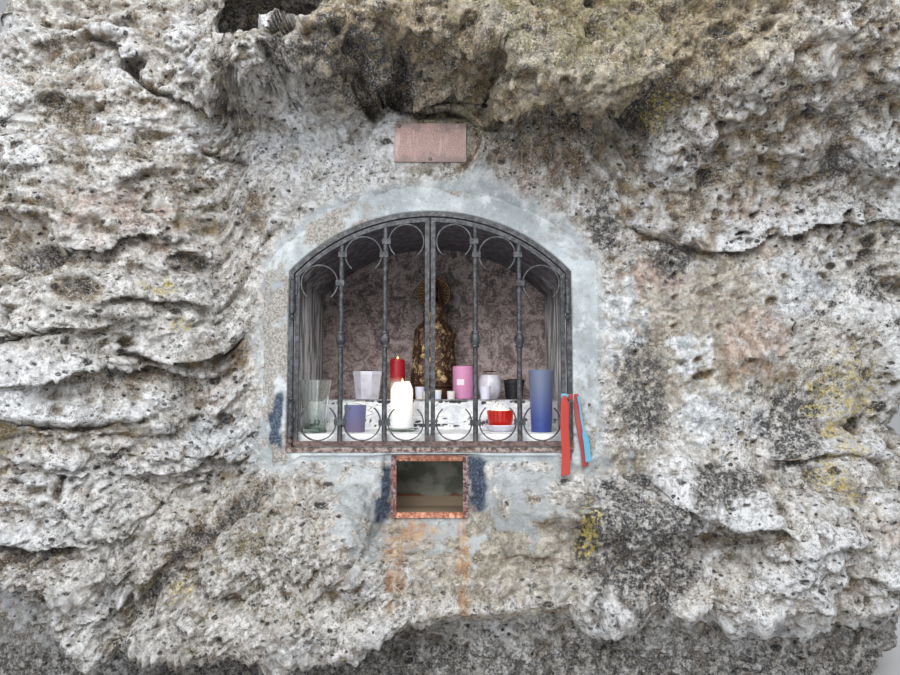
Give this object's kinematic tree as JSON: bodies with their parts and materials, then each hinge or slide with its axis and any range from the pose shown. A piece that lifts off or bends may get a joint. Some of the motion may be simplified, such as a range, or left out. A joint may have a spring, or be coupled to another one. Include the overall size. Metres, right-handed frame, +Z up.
{
  "type": "wayside shrine in a rock niche",
  "caption": "Wayside shrine: an outcrop of tufa with a cement-lined niche behind a pair of arched wrought-iron gates, a draped statue, candles and vases inside, and an offering box below.",
  "frame": {"origin": "middle of the outcrop's flat foot, on the ground", "axes": "+Z up, +X to the right as one faces the gate, -Y towards the viewer in front of the gate"},
  "size_m": [3.4746, 1.4314, 2.4396],
  "materials": {
    "tufa": "rough weathered tufa",
    "cement": "trowelled cement render, stained",
    "sooty_render": "roughcast render, blackened by candle smoke",
    "whitewash": "whitewashed rough cement, chipped",
    "dark_iron": "wrought iron, weathered dark paint",
    "rusty_steel": "mild steel, rusted",
    "plaque_stone": "pinkish-brown polished stone",
    "screw_steel": "weathered screws",
    "bronze": "dark patinated cast bronze with worn gilding",
    "clear_glass": "clear pressed glass",
    "blue_glass": "blue frosted glass",
    "red_glass": "red votive glass",
    "white_wax": "white candle wax",
    "red_wax": "red candle wax, paler at the foot",
    "pink_wax": "pink candle wax",
    "white_ceramic": "white glazed ceramic",
    "black_plastic": "black nursery pot",
    "satin": "polyester satin ribbon"
  },
  "bodies": {
    "shrine": {"rock_base": "tufa", "rock_lower_left": "tufa", "rock_lower_right": "tufa", "rock_lower_back": "tufa", "rock_left": "tufa", "rock_right": "tufa", "rock_back": "tufa", "rock_brow": "tufa", "niche_wall_left": "cement", "niche_wall_right": "cement", "niche_vault": "cement", "niche_back_wall": "sooty_render", "niche_floor": "whitewash", "altar_step": "whitewash", "frame_jambs": "dark_iron", "frame_arch": "dark_iron", "frame_sill": "rusty_steel", "hinge_pins": "dark_iron", "box_rails": "rusty_steel", "box_stiles": "rusty_steel", "box_liner": "rusty_steel", "plaque": "plaque_stone", "plaque_screws": "screw_steel", "statue_pedestal": "bronze", "statue_mantle": "bronze", "statue_head": "bronze", "statue_halo": "bronze", "clear_vase": "clear_glass", "blue_tumbler": "blue_glass", "blue_vase": "blue_glass", "pillar_candle": "white_wax", "candle_plate": "clear_glass", "red_votive": "red_glass", "votive_dish": "white_ceramic", "white_pots": "white_ceramic", "black_pot": "black_plastic", "red_candle": "red_wax", "pink_candle": "pink_wax", "tealights": "white_wax", "ribbons_jamb": "satin"},
    "left_leaf": {"left_leaf_stiles": "dark_iron", "left_leaf_rails": "dark_iron", "left_leaf_bars": "dark_iron", "left_leaf_scrolls": "dark_iron", "left_leaf_knuckles": "dark_iron"},
    "right_leaf": {"right_leaf_stiles": "dark_iron", "right_leaf_rails": "dark_iron", "right_leaf_bars": "dark_iron", "right_leaf_scrolls": "dark_iron", "right_leaf_knuckles": "dark_iron", "ribbon_gate": "satin"}
  },
  "joints": [
    {"name": "left_gate_hinge", "type": "hinge", "parent": "shrine", "child": "left_leaf", "pos_m": [-0.437, -0.4765, 1.1], "axis": [0, 0, -1], "range_deg": [0, 105]},
    {"name": "right_gate_hinge", "type": "hinge", "parent": "shrine", "child": "right_leaf", "pos_m": [0.437, -0.4765, 1.1], "axis": [0, 0, 1], "range_deg": [0, 105]}
  ]
}
